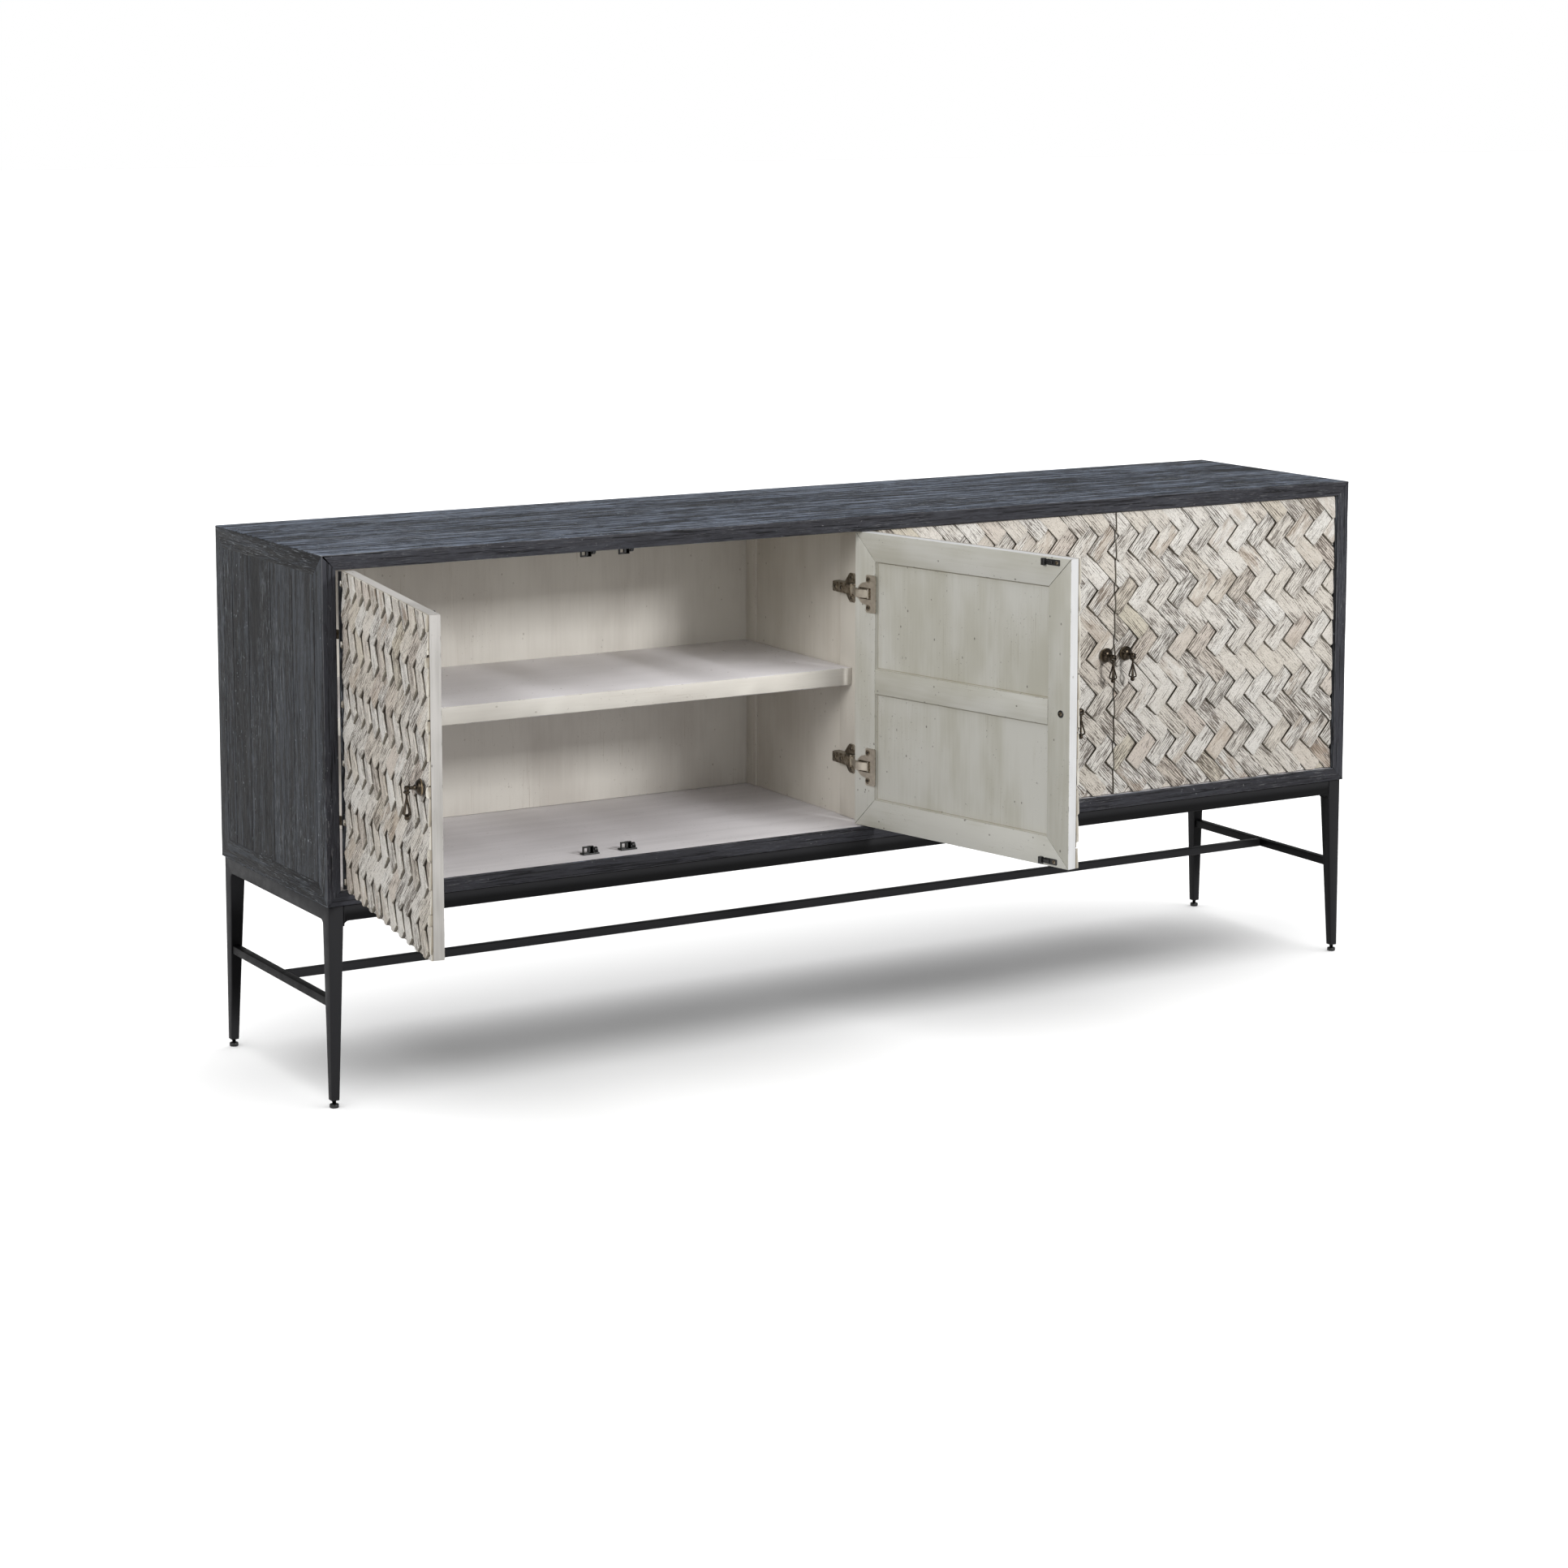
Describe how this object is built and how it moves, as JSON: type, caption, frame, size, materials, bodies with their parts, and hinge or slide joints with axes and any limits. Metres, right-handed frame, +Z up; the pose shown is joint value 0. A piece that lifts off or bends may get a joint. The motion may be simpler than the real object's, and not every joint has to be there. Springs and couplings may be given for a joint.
{
  "type": "sideboard buffet",
  "caption": "Sideboard buffet: dark stained case on a square steel stand, hinged doors faced in whitewashed herringbone blocks with hanging pulls, open at the left, adjustable feet",
  "frame": {"origin": "On the floor under the centre of the whole object's box, measured with the two left doors standing open as they rest. The case itself is centred 38 mm to +X of it.", "axes": "+X runs along the case's length to its right end, +Y runs from the doors to the back, +Z is up."},
  "size_m": [2.1073, 0.9293, 0.88],
  "materials": {
    "dark_wood": "charcoal stained, matt",
    "interior_paint": "greige painted, matt",
    "door_paint": "off-white painted, worn",
    "facing": "whitewashed rough wood blocks",
    "stand_steel": "gunmetal, satin",
    "foot_black": "black",
    "hinge_nickel": "antique nickel",
    "bronze": "antique bronze",
    "catch_black": "black"
  },
  "bodies": {
    "case": {"top_panel": "dark_wood", "bottom_panel": "dark_wood", "left_side_panel": "dark_wood", "right_side_panel": "dark_wood", "back_panel": "interior_paint", "centre_partition": "interior_paint", "left_shelf": "interior_paint", "right_shelf": "interior_paint", "front_rail": "stand_steel", "back_rail": "stand_steel", "left_end_frame": "stand_steel", "right_end_frame": "stand_steel", "long_stretcher": "stand_steel", "front_left_foot": "foot_black", "front_right_foot": "foot_black", "back_left_foot": "foot_black", "back_right_foot": "foot_black", "left_outer_lower_hinge_arm": "hinge_nickel", "left_outer_lower_catch": "catch_black", "left_outer_upper_hinge_arm": "hinge_nickel", "left_outer_upper_catch": "catch_black", "left_inner_lower_hinge_arm": "hinge_nickel", "left_inner_lower_catch": "catch_black", "left_inner_upper_hinge_arm": "hinge_nickel", "left_inner_upper_catch": "catch_black", "right_inner_lower_hinge_arm": "hinge_nickel", "right_inner_lower_catch": "catch_black", "right_inner_upper_hinge_arm": "hinge_nickel", "right_inner_upper_catch": "catch_black", "right_outer_lower_hinge_arm": "hinge_nickel", "right_outer_lower_catch": "catch_black", "right_outer_upper_hinge_arm": "hinge_nickel", "right_outer_upper_catch": "catch_black"},
    "left_outer_door": {"left_outer_door_frame": "door_paint", "left_outer_door_facing": "facing", "left_outer_lower_hinge_cup": "hinge_nickel", "left_outer_upper_hinge_cup": "hinge_nickel", "left_outer_pull_base": "bronze"},
    "left_outer_pull": {"left_outer_pull_pendant": "bronze"},
    "left_inner_door": {"left_inner_door_frame": "door_paint", "left_inner_door_facing": "facing", "left_inner_lower_hinge_cup": "hinge_nickel", "left_inner_upper_hinge_cup": "hinge_nickel", "left_inner_pull_base": "bronze"},
    "left_inner_pull": {"left_inner_pull_pendant": "bronze"},
    "right_inner_door": {"right_inner_door_frame": "door_paint", "right_inner_door_facing": "facing", "right_inner_lower_hinge_cup": "hinge_nickel", "right_inner_upper_hinge_cup": "hinge_nickel", "right_inner_pull_base": "bronze"},
    "right_inner_pull": {"right_inner_pull_pendant": "bronze"},
    "right_outer_door": {"right_outer_door_frame": "door_paint", "right_outer_door_facing": "facing", "right_outer_lower_hinge_cup": "hinge_nickel", "right_outer_upper_hinge_cup": "hinge_nickel", "right_outer_pull_base": "bronze"},
    "right_outer_pull": {"right_outer_pull_pendant": "bronze"}
  },
  "joints": [
    {"name": "left_outer_door_hinge", "type": "hinge", "parent": "case", "child": "left_outer_door", "pos_m": [-0.9495, 0.024, 0.602], "axis": [0, 0, 1], "range_deg": [-10.6, 99.4]},
    {"name": "left_outer_pull_swing", "type": "hinge", "parent": "left_outer_door", "child": "left_outer_pull", "pos_m": [-1.04744, -0.4372, 0.602], "axis": [0.1633, 0.9866, 0], "range_deg": [-15, 95]},
    {"name": "left_inner_door_hinge", "type": "hinge", "parent": "case", "child": "left_inner_door", "pos_m": [0.023, 0.0326, 0.602], "axis": [0, 0, 1], "range_deg": [-102.4, 7.6]},
    {"name": "left_inner_pull_swing", "type": "hinge", "parent": "left_inner_door", "child": "left_inner_pull", "pos_m": [0.15077, -0.40927, 0.602], "axis": [0.2147, -0.9767, 0], "range_deg": [-15, 95]},
    {"name": "right_inner_door_hinge", "type": "hinge", "parent": "case", "child": "right_inner_door", "pos_m": [0.053, 0.0326, 0.602], "axis": [0, 0, 1], "range_deg": [-68, 0]},
    {"name": "right_inner_pull_swing", "type": "hinge", "parent": "right_inner_door", "child": "right_inner_pull", "pos_m": [0.512, 0.0027, 0.602], "axis": [-1, 0, 0], "range_deg": [-15, 95]},
    {"name": "right_outer_door_hinge", "type": "hinge", "parent": "case", "child": "right_outer_door", "pos_m": [1.0255, 0.024, 0.602], "axis": [0, 0, 1], "range_deg": [0, 110]},
    {"name": "right_outer_pull_swing", "type": "hinge", "parent": "right_outer_door", "child": "right_outer_pull", "pos_m": [0.5545, 0.0027, 0.602], "axis": [-1, 0, 0], "range_deg": [-15, 95]}
  ]
}
